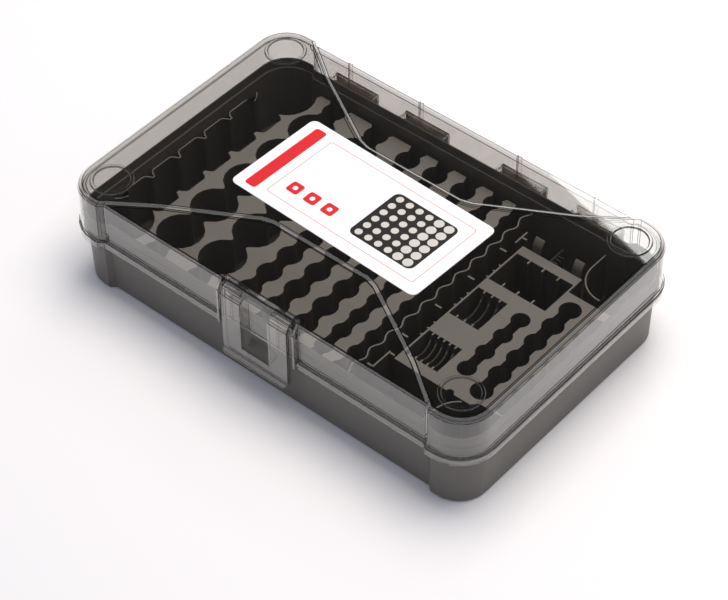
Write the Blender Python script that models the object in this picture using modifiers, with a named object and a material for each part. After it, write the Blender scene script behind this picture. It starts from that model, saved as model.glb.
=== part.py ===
# Battery storage case: a flat tray with a smoked clear lid on four hinges, a front latch and racks
# of scalloped ridges that hold the cells. +Z up, the latch faces -Y, the origin is under the middle.

import bpy
import bmesh
from math import cos, sin, pi, acos, hypot, radians
from mathutils import Matrix, Vector

MM = 0.001

# Driving dimensions

case_length = 295 * MM        # over the lid's lip, along X
case_depth = 190 * MM         # over the lid's lip, along Y
hinge_overhang = 2.5 * MM     # how far the hinges stand behind the lid's lip
finger_overhang = 2.5 * MM    # how far the latch's finger lip stands in front of it
case_height = 70 * MM         # up to the top of the stacking rings
lip_bottom = 36 * MM          # height of the lid's lower edge
lip_height = 5 * MM
deck_height = 38 * MM         # top of all racks
base_wall = 1.9 * MM
lid_wall = 2 * MM
floor_thickness = 2.2 * MM
seat_gap = 0.3 * MM           # between pieces that touch
overrun = 4 * MM              # how far a cut runs past what it cuts

half_length = case_length / 2
half_depth = case_depth / 2
lip_top = lip_bottom + lip_height
ring_rise = 0.8 * MM          # height of the stacking rings on the lid
lid_top = case_height - ring_rise
rim_share = 0.355             # how far up the lid's inside the tray's rim reaches
rim_top = lip_top + (lid_top - lip_top) * rim_share
pillar_length = 31.6 * MM     # from the lip's end to where a corner pillar starts
pillar_run = 3.2 * MM         # width of the slope beside a pillar
pillar_step = 2.7 * MM        # how far the front and back stand behind the pillars
lip_corner = 24 * MM
corner_steps = 7

for old in list(bpy.data.objects):
    bpy.data.objects.remove(old)

part_group = bpy.data.collections.new("battery_case")
cutter_group = bpy.data.collections.new("cutters")
bpy.context.scene.collection.children.link(part_group)
bpy.context.scene.collection.children.link(cutter_group)


# Materials

def linear(value):
    return value / 12.92 if value <= 0.04045 else ((value + 0.055) / 1.055) ** 2.4


def plastic(name, colour, roughness, metallic=0.0, alpha=1.0):
    material = bpy.data.materials.new(name)
    material.use_nodes = True
    shader = material.node_tree.nodes["Principled BSDF"]
    red, green, blue = (linear(int(colour[i:i + 2], 16) / 255) for i in (0, 2, 4))
    shader.inputs["Base Color"].default_value = (red, green, blue, 1)
    shader.inputs["Roughness"].default_value = roughness
    shader.inputs["Metallic"].default_value = metallic
    shader.inputs["Alpha"].default_value = alpha
    return material


tray_plastic = plastic("tray_polypropylene", "57524d", 0.5)
rack_plastic = plastic("rack_polypropylene", "77716b", 0.55)
clear_plastic = plastic("smoked_polycarbonate", "7d7874", 0.12, alpha=0.35)
card_stock = plastic("card_stock", "f6f6f4", 0.6)
pin_steel = plastic("pin_steel", "8c8c8c", 0.35, metallic=1.0)


# Shapes

def arc(centre_x, centre_y, radius, start, end, steps):
    turn = [start + (end - start) * i / steps for i in range(steps + 1)]
    return [(centre_x + radius * cos(a), centre_y + radius * sin(a)) for a in turn]


def flipped_y(points):
    return [(x, -y) for x, y in reversed(points)]


def as_object(name, mesh, material, cutter=False):
    thing = bpy.data.objects.new(name, mesh)
    if cutter:
        cutter_group.objects.link(thing)
        thing.hide_render = True
        thing.display_type = "WIRE"
    else:
        part_group.objects.link(thing)
    if material:
        mesh.materials.append(material)
    return thing


def outward(mesh):
    tool = bmesh.new()
    tool.from_mesh(mesh)
    bmesh.ops.remove_doubles(tool, verts=tool.verts, dist=seat_gap / 100)
    bmesh.ops.recalc_face_normals(tool, faces=tool.faces)
    tool.to_mesh(mesh)
    tool.free()


# The matrices that stand a flat drawing in the XY, YZ or XZ plane, for an extrusion along Z, X or Y
standing = {
    "Z": Matrix.Identity(4),
    "X": Matrix(((0, 0, 1, 0), (1, 0, 0, 0), (0, 1, 0, 0), (0, 0, 0, 1))),
    "Y": Matrix(((1, 0, 0, 0), (0, 0, -1, 0), (0, 1, 0, 0), (0, 0, 0, 1))),
}


def flat_mesh(name, outlines, axis, low, high):
    """A flat drawing, whose inner outlines are holes, made thick from low to high along an axis."""
    drawing = bpy.data.curves.new(name, "CURVE")
    drawing.dimensions = "2D"
    drawing.fill_mode = "BOTH"
    drawing.extrude = (high - low) / 2
    for outline in outlines:
        spline = drawing.splines.new("POLY")
        spline.points.add(len(outline) - 1)
        for point, (across, up) in zip(spline.points, outline):
            point.co = (across, up, 0, 1)
        spline.use_cyclic_u = True
    guide = bpy.data.objects.new(name, drawing)
    cutter_group.objects.link(guide)
    graph = bpy.context.evaluated_depsgraph_get()
    mesh = bpy.data.meshes.new_from_object(guide.evaluated_get(graph))
    bpy.data.objects.remove(guide)
    bpy.data.curves.remove(drawing)
    outward(mesh)
    middle = (low + high) / 2
    shift = {"Z": (0, 0, middle), "X": (middle, 0, 0), "Y": (0, middle, 0)}[axis]
    mesh.transform(Matrix.Translation(shift) @ standing[axis])
    return mesh


def flat_piece(name, outlines, axis, low, high, material=None, cutter=False):
    return as_object(name, flat_mesh(name, outlines, axis, low, high), material, cutter)


def lofted(name, sections, material=None, cutter=False):
    """A skin through like outlines, each a (height, outline) pair, closed at both ends."""
    tool = bmesh.new()
    rings = [[tool.verts.new((x, y, z)) for x, y in outline] for z, outline in sections]
    for lower, upper in zip(rings, rings[1:]):
        count = len(lower)
        for i in range(count):
            j = (i + 1) % count
            tool.faces.new((lower[i], lower[j], upper[j], upper[i]))
    tool.faces.new(list(reversed(rings[0])))
    tool.faces.new(rings[-1])
    mesh = bpy.data.meshes.new(name)
    tool.to_mesh(mesh)
    tool.free()
    outward(mesh)
    return as_object(name, mesh, material, cutter)


def block(name, low, high, material=None, cutter=False):
    tool = bmesh.new()
    bmesh.ops.create_cube(tool, size=1)
    size = [b - a for a, b in zip(low, high)]
    middle = [(a + b) / 2 for a, b in zip(low, high)]
    bmesh.ops.scale(tool, vec=size, verts=tool.verts)
    bmesh.ops.translate(tool, vec=middle, verts=tool.verts)
    mesh = bpy.data.meshes.new(name)
    tool.to_mesh(mesh)
    tool.free()
    return as_object(name, mesh, material, cutter)


def rod(name, radius, centre_y, centre_z, low, high, sides, material=None, cutter=False):
    """A cylinder along X."""
    tool = bmesh.new()
    bmesh.ops.create_cone(tool, cap_ends=True, segments=sides, radius1=radius, radius2=radius,
                          depth=high - low)
    mesh = bpy.data.meshes.new(name)
    tool.to_mesh(mesh)
    tool.free()
    mesh.transform(Matrix.Translation(((low + high) / 2, centre_y, centre_z)) @ standing["X"])
    return as_object(name, mesh, material, cutter)


def turned(name, profile, centre, steps, cutter=False):
    """A profile of (radius, height) points, top to bottom down its outer side, turned about Z."""
    mesh = bpy.data.meshes.new(name)
    count = len(profile)
    edges = [(i, (i + 1) % count) for i in range(count)]
    mesh.from_pydata([(radius, 0, z) for radius, z in profile], edges, [])
    guide = bpy.data.objects.new(name, mesh)
    cutter_group.objects.link(guide)
    screw = guide.modifiers.new("turn", "SCREW")
    screw.steps = steps
    screw.render_steps = steps
    screw.use_merge_vertices = True
    screw.merge_threshold = seat_gap / 10
    graph = bpy.context.evaluated_depsgraph_get()
    solid = bpy.data.meshes.new_from_object(guide.evaluated_get(graph))
    bpy.data.objects.remove(guide)
    outward(solid)
    solid.transform(Matrix.Translation((centre[0], centre[1], 0)))
    return as_object(name, solid, None, cutter)


def boolean(target, other, operation):
    step = target.modifiers.new(operation.lower() + " " + other.name, "BOOLEAN")
    step.operation = operation
    step.solver = "EXACT"
    step.object = other


def cut(target, *others):
    for other in others:
        boolean(target, other, "DIFFERENCE")


def join(target, *others):
    for other in others:
        boolean(target, other, "UNION")


# The case's outline in plan, at an inset from the lid's lip

def case_outline(inset, corner):
    x = half_length - inset
    y = half_depth - inset
    slope_x = half_length - pillar_length
    right = arc(x - corner, y - corner, corner, 0, pi / 2, corner_steps)
    right += [(slope_x + pillar_run, y), (slope_x, y - pillar_step)]
    left = [(-a, b) for a, b in reversed(right)]
    back = right + left
    return back + [(a, -b) for a, b in reversed(back)]


# Base shell: one moulding, a tray with draft, a rounded foot edge, a ledge that carries the lid and
# a rim that stands up inside it

base_corner = 19 * MM
foot_round = 1.6 * MM
foot_inset = 5.6 * MM
ledge_inset = 3.4 * MM
ledge_thickness = 2.3 * MM
wall_inset = 5 * MM
rim_inset = 4.6 * MM
rim_draft = 0.3 * MM
rim_groove = 0.45 * MM
groove_drop = 6.5 * MM        # from the rim's top down to the groove round it
groove_low = rim_top - groove_drop
groove_height = 1.6 * MM
rim_chamfer = 0.4 * MM
rim_step_height = 6.5 * MM
rim_step = 0.7 * MM
floor_inset = foot_inset + base_wall
inner_inset = wall_inset + base_wall - rim_draft
ledge_gap = 0.4 * MM          # between the ledge and the lid's lip above it
ledge_top = lip_top - lid_wall - ledge_gap


def base_ring(inset):
    return case_outline(inset, base_corner)


def rim_ring(height):
    share = (height - ledge_top) / (rim_top - ledge_top)
    return rim_inset + rim_draft * share


base_shell = lofted("base_shell", [
    (0, base_ring(foot_inset + foot_round)),
    (foot_round * 0.3, base_ring(foot_inset + foot_round * 0.4)),
    (foot_round, base_ring(foot_inset)),
    (ledge_top - ledge_thickness, base_ring(wall_inset)),
    (ledge_top - ledge_thickness * 0.8, base_ring(ledge_inset)),
    (ledge_top, base_ring(ledge_inset)),
    (ledge_top + rim_chamfer * 0.1, base_ring(rim_inset)),
    (groove_low, base_ring(rim_ring(groove_low))),
    (groove_low + rim_chamfer, base_ring(rim_ring(groove_low) + rim_groove)),
    (groove_low + groove_height, base_ring(rim_ring(groove_low) + rim_groove)),
    (groove_low + groove_height + rim_chamfer, base_ring(rim_ring(groove_low + groove_height))),
    (rim_top - rim_chamfer, base_ring(rim_ring(rim_top))),
    (rim_top, base_ring(rim_ring(rim_top) + rim_chamfer)),
], tray_plastic)

base_hollow = lofted("base_hollow", [
    (floor_thickness, base_ring(floor_inset + foot_round)),
    (floor_thickness + foot_round, base_ring(floor_inset)),
    (rim_top - rim_step_height, base_ring(inner_inset)),
    (rim_top - rim_step_height + rim_chamfer, base_ring(inner_inset - rim_step)),
    (rim_top + overrun, base_ring(inner_inset - rim_step)),
], cutter=True)
cut(base_shell, base_hollow)

# Stacking grooves under the base, which drop over the rings on the next case's lid

ring_inset = 22 * MM          # from the lip to a ring's centre
ring_x = half_length - ring_inset
ring_y = half_depth - ring_inset
ring_outer = 12.4 * MM
ring_width = 1.8 * MM
ring_steps = 28
groove_clearance = 0.5 * MM
corners = [(-1, -1), (1, -1), (1, 1), (-1, 1)]


def ring(name, side_x, side_y, low, high, grow, cutter=False):
    outer = ring_outer + grow
    inner = ring_outer - ring_width - grow
    profile = [(inner, high), (outer, high), (outer, low), (inner, low)]
    return turned(name, profile, (side_x * ring_x, side_y * ring_y), ring_steps, cutter)


for number, (side_x, side_y) in enumerate(corners):
    groove = ring("stack_groove_%d" % number, side_x, side_y, -overrun, ring_rise + seat_gap / 2,
                  groove_clearance, cutter=True)
    cut(base_shell, groove)

# Corner pockets for the large cells, with five ribs that centre the cell against the case's corner

d_cell_radius = 17.5 * MM
d_inset_x = 24.9 * MM         # from the lip to the cell's axis
d_inset_y = 25.1 * MM
d_x = half_length - d_inset_x
d_y = half_depth - d_inset_y
rib_thickness = 1.2 * MM
rib_stand = 3 * MM            # how far the ribs stand above the racks
rib_top = deck_height + rib_stand
rib_angles = [8, 27, 45, 63, 82]
rib_reach = 3 * MM
rib_sink = 0.4 * MM

for number, (side_x, side_y) in enumerate(corners):
    for order, degrees in enumerate(rib_angles):
        angle = radians(degrees)
        across = rib_thickness / 2
        inner = d_cell_radius + seat_gap
        outer = inner + rib_reach
        shape = []
        for reach, offset in ((inner, -across), (outer, -across), (outer, across), (inner, across)):
            x = d_x + reach * cos(angle) - offset * sin(angle)
            y = d_y + reach * sin(angle) + offset * cos(angle)
            shape.append((side_x * x, side_y * y))
        rib = flat_piece("corner_rib_%d_%d" % (number, order), [shape], "Z",
                         floor_thickness - rib_sink, rib_top, cutter=True)
        hull = lofted("corner_rib_limit_%d_%d" % (number, order), [
            (0, base_ring(foot_inset + foot_round)),
            (foot_round, base_ring(foot_inset + foot_round / 2)),
            (rim_top, base_ring(wall_inset + foot_round / 2)),
        ], cutter=True)
        boolean(rib, hull, "INTERSECT")
        join(base_shell, rib)

# Hinges: lugs on the base hold each pin, and a loop on the lid reaches round it

hinge_centres_share = [-0.61, -0.244, 0.244, 0.61]
hinge_length = 32 * MM
hinge_drop = 4.7 * MM         # from the back of the hinge to its axis
hinge_back = half_depth + hinge_overhang
hinge_axis_y = hinge_back - hinge_drop
hinge_rise = 0.8 * MM
hinge_axis_z = lip_bottom + hinge_rise
pin_radius = 1.2 * MM
pin_clearance = 0.25 * MM
lug_radius = 2.4 * MM
lug_offset = 12.1 * MM
lug_width = 5.6 * MM
lug_root = 2 * MM
lug_height = 8.6 * MM         # the lug stands this far above the pin, inside the lid's hood
pin_sides = 16
pin_length = 2 * lug_offset + lug_width
base_back = half_depth - pillar_step - wall_inset

lug_nose = lug_radius - seat_gap * 2
lug_profile = arc(hinge_axis_y, hinge_axis_z, lug_nose, -pi / 2, 0, corner_steps)
lug_profile += [(hinge_axis_y + lug_nose, hinge_axis_z + lug_height - lug_root),
                (hinge_axis_y, hinge_axis_z + lug_height),
                (base_back - lug_root / 2, hinge_axis_z + lug_height),
                (base_back - lug_root / 2, hinge_axis_z - lug_radius - lug_root)]

hinge_centres = [share * half_length for share in hinge_centres_share]
for number, centre in enumerate(hinge_centres):
    for side in (-1, 1):
        middle = centre + side * lug_offset
        lug = flat_piece("hinge_lug_%d_%d" % (number, side + 1), [lug_profile], "X",
                         middle - lug_width / 2, middle + lug_width / 2, cutter=True)
        join(base_shell, lug)
    bore = rod("hinge_bore_%d" % number, pin_radius + pin_clearance, hinge_axis_y, hinge_axis_z,
               centre - pin_length, centre + pin_length, pin_sides, cutter=True)
    cut(base_shell, bore)
    rod("hinge_pin_%d" % (number + 1), pin_radius, hinge_axis_y, hinge_axis_z,
        centre - pin_length / 2, centre + pin_length / 2, pin_sides, pin_steel)

# The catch under the latch's hook: a wedge on the front of the base

catch_half = 9 * MM
catch_drop = 9.5 * MM         # from the lid's lip down to the catch
catch_low = lip_bottom - catch_drop
catch_height = 5 * MM
catch_reach = 3.9 * MM
base_front = -base_back
catch_nose = base_front - catch_reach
catch_profile = [
    (base_front + lug_root / 2, catch_low),
    (catch_nose + seat_gap, catch_low),
    (catch_nose, catch_low + seat_gap),
    (catch_nose, catch_low + catch_height * 0.3),
    (base_front + lug_root / 2, catch_low + catch_height),
]
catch = flat_piece("latch_catch", [catch_profile], "X", -catch_half, catch_half, cutter=True)
join(base_shell, catch)

# Battery rack: a floor plate and the walls and ridges that stand on it

rack_low = floor_thickness + seat_gap
plate_thickness = 1.5 * MM
plate_gap = 2 * MM
plate_corner = 22 * MM
plate_x = half_length - floor_inset - plate_gap
plate_y = half_depth - pillar_step - floor_inset - plate_gap
plate_outline = []
for side_x, side_y, start in ((1, 1, 0), (-1, 1, pi / 2), (-1, -1, pi), (1, -1, 3 * pi / 2)):
    plate_outline += arc(side_x * (plate_x - plate_corner), side_y * (plate_y - plate_corner),
                         plate_corner, start, start + pi / 2, corner_steps)
flat_piece("rack_floor", [plate_outline], "Z", rack_low, rack_low + plate_thickness, rack_plastic)

ridge_low = rack_low + plate_thickness + seat_gap
ridge_end = plate_y           # where the ridges stop, front and back
end_chamfer = 1.5 * MM
neck_round_share = 0.3        # how much of a neck's length its rounding takes
arc_steps = 6


def evenly(first, pitch, count):
    return [first + pitch * i for i in range(count)]


def chain_edge(centre_x, side, radius, neck, centres):
    """One side of a row of round pockets joined by necks, from the front of the case to the back."""
    reach = acos((neck + (radius - neck) * arc_end_share) / radius)
    points = []
    for centre_y in centres:
        if points:
            gap = centre_y - radius * sin(reach) - points[-1][1]
            points.append((centre_x + side * neck, points[-1][1] + gap * neck_round_share))
            points.append((centre_x + side * neck, points[-1][1] + gap * (1 - 2 * neck_round_share)))
        for i in range(arc_steps + 1):
            angle = reach * (2 * i / arc_steps - 1)
            points.append((centre_x + side * radius * cos(angle), centre_y + radius * sin(angle)))
    return points


# Rows from left to right: C, C, AA, AA, AA, AAA, AAA. A row's cells start at the back and run on at
# its pitch, and a case that is too short for a row goes without it.

arc_end_share = 0.12          # how far before the neck a pocket's arc ends
c_radius = 14 * MM
c_neck = 5.25 * MM
c_pitch = 28 * MM
c_end_radius = 7.5 * MM
c_end_inset = 6 * MM          # from the ridges' ends to the small pockets that end a C row
c_margin = 12.7 * MM
aa_radius = 7.5 * MM
aa_neck = 4 * MM
aa_pitch = 17.15 * MM
aa_inset = 10.8 * MM          # from the ridges' back end to the first cell
aaa_radius = 5.6 * MM
aaa_neck = 3.25 * MM
aaa_pitch = 14.65 * MM
aaa_inset = [7.3 * MM, 14.3 * MM]
row_places = [56.05 * MM, 88.5 * MM, 116.5 * MM, 137 * MM, 157.8 * MM, 176.8 * MM, 193.8 * MM]
row_kinds = ["c", "c", "aa", "aa", "aa", "aaa left", "aaa right"]


def row_cells(kind):
    """The places along Y of a row's pockets, front to back, with one cut by the ridges' front end."""
    if kind == "c":
        count = int(2 * (ridge_end - c_margin) / c_pitch)
        return evenly(-c_pitch * (count - 1) / 2, c_pitch, count)
    inset, pitch = {"aa": (aa_inset, aa_pitch), "aaa left": (aaa_inset[0], aaa_pitch),
                    "aaa right": (aaa_inset[1], aaa_pitch)}[kind]
    count = int((2 * ridge_end - inset) / pitch) + 1
    return evenly(ridge_end - inset - pitch * (count - 1), pitch, count)


def row_edge(centre_x, side, kind):
    if kind == "aa":
        return chain_edge(centre_x, side, aa_radius, aa_neck, row_cells(kind))
    if kind != "c":
        return chain_edge(centre_x, side, aaa_radius, aaa_neck, row_cells(kind))
    middle = chain_edge(centre_x, side, c_radius, c_neck, row_cells(kind))
    end = chain_edge(centre_x, side, c_end_radius, c_neck, [ridge_end - c_end_inset])
    front = [(x, -y) for x, y in reversed(end)]
    return front + middle + end


def ridge(name, left, right):
    """A solid ridge between the right side of one row and the left side of the next."""
    left = [p for p in left if abs(p[1]) < ridge_end - end_chamfer]
    right = [p for p in right if abs(p[1]) < ridge_end - end_chamfer]
    front = [(left[0][0] + end_chamfer, -ridge_end), (right[0][0] - end_chamfer, -ridge_end)]
    back = [(right[-1][0] - end_chamfer, ridge_end), (left[-1][0] + end_chamfer, ridge_end)]
    outline = front + right + back + list(reversed(left))
    return flat_piece(name, [outline], "Z", ridge_low, deck_height, rack_plastic)


# Left side of the first ridge: five square-ish 9 V pockets between two round corner pockets

nine_pitch = 22 * MM
nine_place = 36.5 * MM        # from the lip to the right side of the 9 V row
nine_right_x = nine_place - half_length
nine_margin = 14.9 * MM       # from a corner cell's axis to the first 9 V cell
nine_count = round(2 * (d_y - nine_margin) / nine_pitch)
nine_half = nine_count * nine_pitch / 2
nine_cusp = 4.5 * MM
nine_flat_share = 0.3
nine_bend_share = 0.42
nub_half = 1.2 * MM


def nine_edge(far_x, cusp_x):
    """The scallops of the 9 V row, front to back, between a far wall and its cusps."""
    points = [(cusp_x, nub_half - nine_half)]
    for centre_y in evenly(nine_pitch / 2 - nine_half, nine_pitch, nine_count):
        points += [
            (far_x + (cusp_x - far_x) * 0.62, centre_y - nine_pitch * nine_bend_share),
            (far_x + (cusp_x - far_x) * 0.12, centre_y - nine_pitch * (nine_bend_share - 0.07)),
            (far_x, centre_y - nine_pitch * nine_flat_share),
            (far_x, centre_y + nine_pitch * nine_flat_share),
            (far_x + (cusp_x - far_x) * 0.12, centre_y + nine_pitch * (nine_bend_share - 0.07)),
            (far_x + (cusp_x - far_x) * 0.62, centre_y + nine_pitch * nine_bend_share),
            (cusp_x, centre_y + nine_pitch / 2 - nub_half),
            (cusp_x, centre_y + nine_pitch / 2 + nub_half),
        ]
    return points[:-1]


nine_side = nine_edge(nine_right_x, nine_right_x - nine_cusp)
d_side_steps = 8
d_start = -radians(62)
d_end = radians(48)
corner_side = arc(-d_x, d_y, d_cell_radius, d_start, d_end, d_side_steps)
corner_side = [point for point in corner_side if point[1] > nine_half]
first_left = flipped_y(corner_side) + nine_side + corner_side

channel_place = 88.5 * MM     # from the lip at the right end to the channel's wall
channel_x = half_length - channel_place
channel_space = 7 * MM        # kept free between the last row's cells and that wall
rows = []
for place, kind in zip(row_places, row_kinds):
    cell = {"c": c_radius, "aa": aa_radius}.get(kind, aaa_radius)
    if place - half_length + cell < channel_x - channel_space:
        rows.append((place - half_length, kind))

ridge_names = ["nine_volt_ridge", "c_ridge", "c_aa_ridge", "aa_ridge_left", "aa_ridge_right",
               "aa_aaa_ridge", "aaa_ridge"]
left_side = first_left
for name, (centre_x, kind) in zip(ridge_names, rows):
    ridge(name, left_side, row_edge(centre_x, -1, kind))
    left_side = row_edge(centre_x, 1, kind)

# Thin scalloped wall left of the 9 V row, which flares out to the case's wall round the corner cells

thin_wall = 1 * MM
nine_left_x = -(half_length - floor_inset - seat_gap - thin_wall)
wall_flare = 6 * MM
flare_share = 0.55


def thickened(path, thickness):
    """The closed outline of a thin upright wall whose right side runs along a path, front to back."""
    other = []
    for i, (x, y) in enumerate(path):
        before = path[max(i - 1, 0)]
        after = path[min(i + 1, len(path) - 1)]
        run = hypot(after[0] - before[0], after[1] - before[1])
        other.append((x - (after[1] - before[1]) * thickness / run,
                      y + (after[0] - before[0]) * thickness / run))
    return path + list(reversed(other))


scallops = nine_edge(nine_left_x, nine_left_x + nine_cusp)
flare = [(nine_left_x + nine_cusp * flare_share, nine_half + wall_flare * flare_share),
         (nine_left_x, nine_half + wall_flare)]
scallop_path = flipped_y(flare) + scallops + flare
flat_piece("nine_volt_wall", [thickened(scallop_path, thin_wall)], "Z", ridge_low, deck_height,
           rack_plastic)

# Thin wavy wall right of the last row

wave_swing = 1.5 * MM
wave_steps = 6
last_x, last_kind = rows[-1]
last_radius, last_pitch = {"c": (c_radius, c_pitch), "aa": (aa_radius, aa_pitch)}.get(
    last_kind, (aaa_radius, aaa_pitch))
last_y = row_cells(last_kind)[-1]
wave_x = last_x + last_radius - wave_swing
wave_path = []
wave_count = round(2 * ridge_end / last_pitch * wave_steps)
for i in range(wave_count + 1):
    y = -ridge_end + 2 * ridge_end * i / wave_count
    phase = 2 * pi * (y - last_y) / last_pitch
    wave_path.append((wave_x + wave_swing * cos(phase) + thin_wall, y))
flat_piece("wave_wall", [thickened(wave_path, thin_wall)], "Z", ridge_low, deck_height, rack_plastic)

# Low wall in the channel beside the small-cell tray, with ribs whose tops reach the deck

channel_wall_drop = 12 * MM   # the wall's top lies this much below the racks' tops
channel_wall_top = deck_height - channel_wall_drop
channel_front_inset = 16.8 * MM
channel_back_inset = 13.8 * MM
channel_low_y = channel_front_inset - ridge_end
channel_high_y = ridge_end - channel_back_inset
rib_pitch = 28.75 * MM
rib_first = channel_low_y + seat_gap
rib_length = 4 * MM

post_length = [15 * MM, 11 * MM]
channel_wall = flat_piece("channel_wall", [[
    (channel_low_y, ridge_low), (channel_high_y, ridge_low), (channel_high_y, deck_height),
    (channel_high_y - post_length[1], deck_height),
    (channel_high_y - post_length[1], channel_wall_top),
    (channel_low_y + post_length[0], channel_wall_top),
    (channel_low_y + post_length[0], deck_height), (channel_low_y, deck_height),
]], "X", channel_x, channel_x + thin_wall, rack_plastic)
rib_count = int((channel_high_y - rib_first) / rib_pitch) + 1
for number, y in enumerate(evenly(rib_first, rib_pitch, rib_count)):
    fin = block("channel_rib_%d" % number,
                (channel_x - rib_length, y, ridge_low + seat_gap),
                (channel_x + thin_wall / 2, y + rib_thickness, deck_height - thin_wall),
                cutter=True)
    join(channel_wall, fin)
for number, y in enumerate((channel_low_y + post_length[0], channel_high_y - rib_length)):
    foot = block("channel_foot_%d" % number,
                 (channel_x + thin_wall / 2, y - rib_thickness - seat_gap, ridge_low + seat_gap),
                 (channel_x + rib_length, y - seat_gap, deck_height - seat_gap), cutter=True)
    join(channel_wall, foot)

# Small-cell tray: a deck with pockets for photo cells, coin cells and three rows of small round cells

tray_place = 83 * MM          # from the lip at the right end to the tray's left side
tray_left = half_length - tray_place
tray_right = half_length - floor_inset - seat_gap
tray_front_gap = 15.9 * MM    # from a corner cell's axis to the tray
tray_back_gap = 23.9 * MM
tray_bar = 12.5 * MM          # the bar behind the photo pocket, and the pocket's overlap with it
tray_front = tray_front_gap - d_y
tray_back = d_y - tray_back_gap
tray_bar_back = tray_back + tray_bar
tray_span = tray_back - tray_front
tray_edge = 1.1 * MM
notch_radius = 2.4 * MM
notch_place = 38.5 * MM       # from the tray's left side
notch_x = tray_left + notch_place
pocket_left = tray_left + tray_edge
photo_share = (0.8, 1.06)     # the pockets' places, as shares of the tray from front to back
coin_large_share = (0.453, 0.713)
coin_small_share = (0.07, 0.285)


def pocket(width, shares):
    low, high = (tray_front + tray_span * share for share in shares)
    return pocket_left, pocket_left + width, low, high


photo_width = 39.4 * MM
coin_large_width = 20.4 * MM
coin_small_width = 22.9 * MM
photo_pocket = pocket(photo_width, photo_share)
coin_large = pocket(coin_large_width, coin_large_share)
coin_small = pocket(coin_small_width, coin_small_share)
photo_tick_places = [10.5 * MM, 20.5 * MM, 31 * MM]
large_tick_places = [6.1 * MM, 11.5 * MM, 16.9 * MM]
small_tick_places = [4.6 * MM, 8.6 * MM, 12.5 * MM, 16.5 * MM, 20.4 * MM]
photo_ticks = [tray_left + place for place in photo_tick_places]
large_ticks = [tray_left + place for place in large_tick_places]
small_ticks = [tray_left + place for place in small_tick_places]
photo_tick_depth = 3 * MM
coin_tick_depth = 2 * MM
tick_width = 1 * MM
tray_cut_place = 52 * MM      # the tray's front corner is cut back round the corner cell
tray_cut_x = tray_left + tray_cut_place
tray_cut = 3.8 * MM
bar_length = 41.5 * MM
bar_right = tray_left + bar_length


def ticked_pocket(box, ticks, depth):
    """A box-shaped pocket whose front and back edges carry small dividing teeth."""
    left, right, low, high = box
    points = [(left, low)]
    for x in ticks:
        points += [(x - tick_width / 2, low), (x - tick_width / 2, low + depth),
                   (x + tick_width / 2, low + depth), (x + tick_width / 2, low)]
    points.append((right, low))
    points.append((right, high))
    for x in reversed(ticks):
        points += [(x + tick_width / 2, high), (x + tick_width / 2, high - depth),
                   (x - tick_width / 2, high - depth), (x - tick_width / 2, high)]
    points.append((left, high))
    return points


def closed_chain(centre_x, radius, neck, first, pitch, count):
    """The closed outline of a row of round pockets joined by necks."""
    reach = acos(neck / radius)
    side = []
    for centre_y in evenly(first, pitch, count):
        for i in range(arc_steps + 1):
            angle = reach * (2 * i / arc_steps - 1)
            side.append((radius * cos(angle), centre_y + radius * sin(angle)))
    last_y = first + pitch * (count - 1)
    cap = arc(0, last_y, radius, reach, pi - reach, arc_steps)[1:-1]
    foot = arc(0, first, radius, pi + reach, 2 * pi - reach, arc_steps)[1:-1]
    outline = side + cap + [(-x, y) for x, y in reversed(side)] + foot
    return [(centre_x + x, y) for x, y in outline]


# Each row of small round cells: its place from the tray's left side, the pockets' radius, half the
# neck, the first pocket's place from the tray's front, the pitch, and the space kept at the back
small_rows = [
    (34.5 * MM, 5.6 * MM, 3.25 * MM, 19.5 * MM, 15.5 * MM, 32 * MM),
    (50.8 * MM, 6.5 * MM, 4 * MM, 11.7 * MM, 15.5 * MM, 9.5 * MM),
    (68.1 * MM, 4.3 * MM, 2.6 * MM, 9 * MM, 13.4 * MM, 9.5 * MM),
]
tray_outline = [(tray_left, tray_front), (notch_x - notch_radius, tray_front)]
tray_outline += arc(notch_x, tray_front, notch_radius, pi, 0, arc_steps)[1:-1]
tray_outline += [(notch_x + notch_radius, tray_front), (tray_cut_x, tray_front),
                 (tray_cut_x + tray_cut, tray_front + tray_cut), (tray_right, tray_front + tray_cut),
                 (tray_right, tray_back), (bar_right, tray_back), (bar_right, tray_bar_back),
                 (tray_left, tray_bar_back)]
tray_holes = [
    ticked_pocket(photo_pocket, photo_ticks, photo_tick_depth),
    ticked_pocket(coin_large, large_ticks, coin_tick_depth),
    ticked_pocket(coin_small, small_ticks, coin_tick_depth),
]
for place, radius, neck, inset, pitch, space in small_rows:
    count = int((tray_span - inset - space) / pitch) + 1
    tray_holes.append(closed_chain(tray_left + place, radius, neck, tray_front + inset, pitch, count))

# The tray is cut into strips through its rows of small cells, as the other rows part the ridges

strip_names = ["small_cell_tray", "small_cell_ridge_left", "small_cell_ridge_right",
               "small_cell_ridge_outer"]
cuts = [tray_left - overrun] + [tray_left + row[0] for row in small_rows] + [tray_right + overrun]
strips = []
for name, low, high in zip(strip_names, cuts, cuts[1:]):
    strip = flat_piece(name, [tray_outline] + tray_holes, "Z", ridge_low, deck_height, rack_plastic)
    keep = block(name + "_limit", (low + seat_gap / 2, tray_front - overrun, ridge_low - overrun),
                 (high - seat_gap / 2, tray_bar_back + overrun, deck_height + overrun), cutter=True)
    boolean(strip, keep, "INTERSECT")
    strips.append(strip)

side_teeth_shares = [(0.925, 0.87, 0.812), (0.64, 0.585, 0.527), (0.35, 0.295, 0.237)]
tooth_reach = 1.3 * MM
for number, group in enumerate(side_teeth_shares):
    for order, share in enumerate(group):
        y = tray_front + tray_span * share
        tooth = block("side_tooth_%d_%d" % (number, order),
                      (tray_left - tooth_reach, y - tick_width / 2, channel_wall_top),
                      (tray_left + tray_edge / 2, y + tick_width / 2, deck_height - seat_gap),
                      cutter=True)
        join(strips[0], tooth)

# Coin-cell cradles: combs of thin plates with a round dip, one between each two cells

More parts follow.
